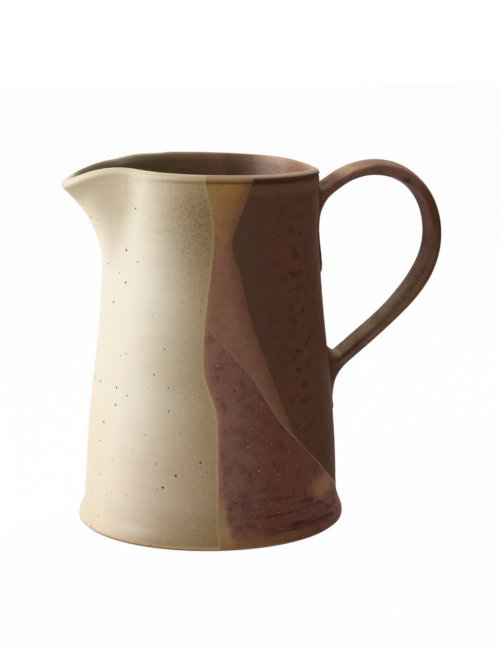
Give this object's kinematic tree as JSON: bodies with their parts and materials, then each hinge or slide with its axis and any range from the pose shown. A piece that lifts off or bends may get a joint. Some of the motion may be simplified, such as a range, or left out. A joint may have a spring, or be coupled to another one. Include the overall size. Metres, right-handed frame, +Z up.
{
  "type": "stoneware pitcher",
  "caption": "Wheel-thrown stoneware pitcher: flared foot, tapering round body, pulled pouring spout and looped strap handle, with cream, plum and brown dipped glazes.",
  "frame": {"origin": "centre of the foot, on the plane that it stands on", "axes": "+Z up; the spout points along -X and the handle along +X; the pictured front faces -Y"},
  "size_m": [0.2115, 0.1458, 0.1973],
  "materials": {
    "clay": "matte",
    "cream": "satin",
    "plum": "satin",
    "brown": "satin",
    "liner": "satin"
  },
  "bodies": {
    "root": {"body": "clay", "handle": "brown", "upper_luting": "brown", "lower_luting": "brown", "cream_glaze": "cream", "plum_glaze": "plum", "brown_glaze": "brown", "liner_glaze": "liner"}
  },
  "joints": []
}
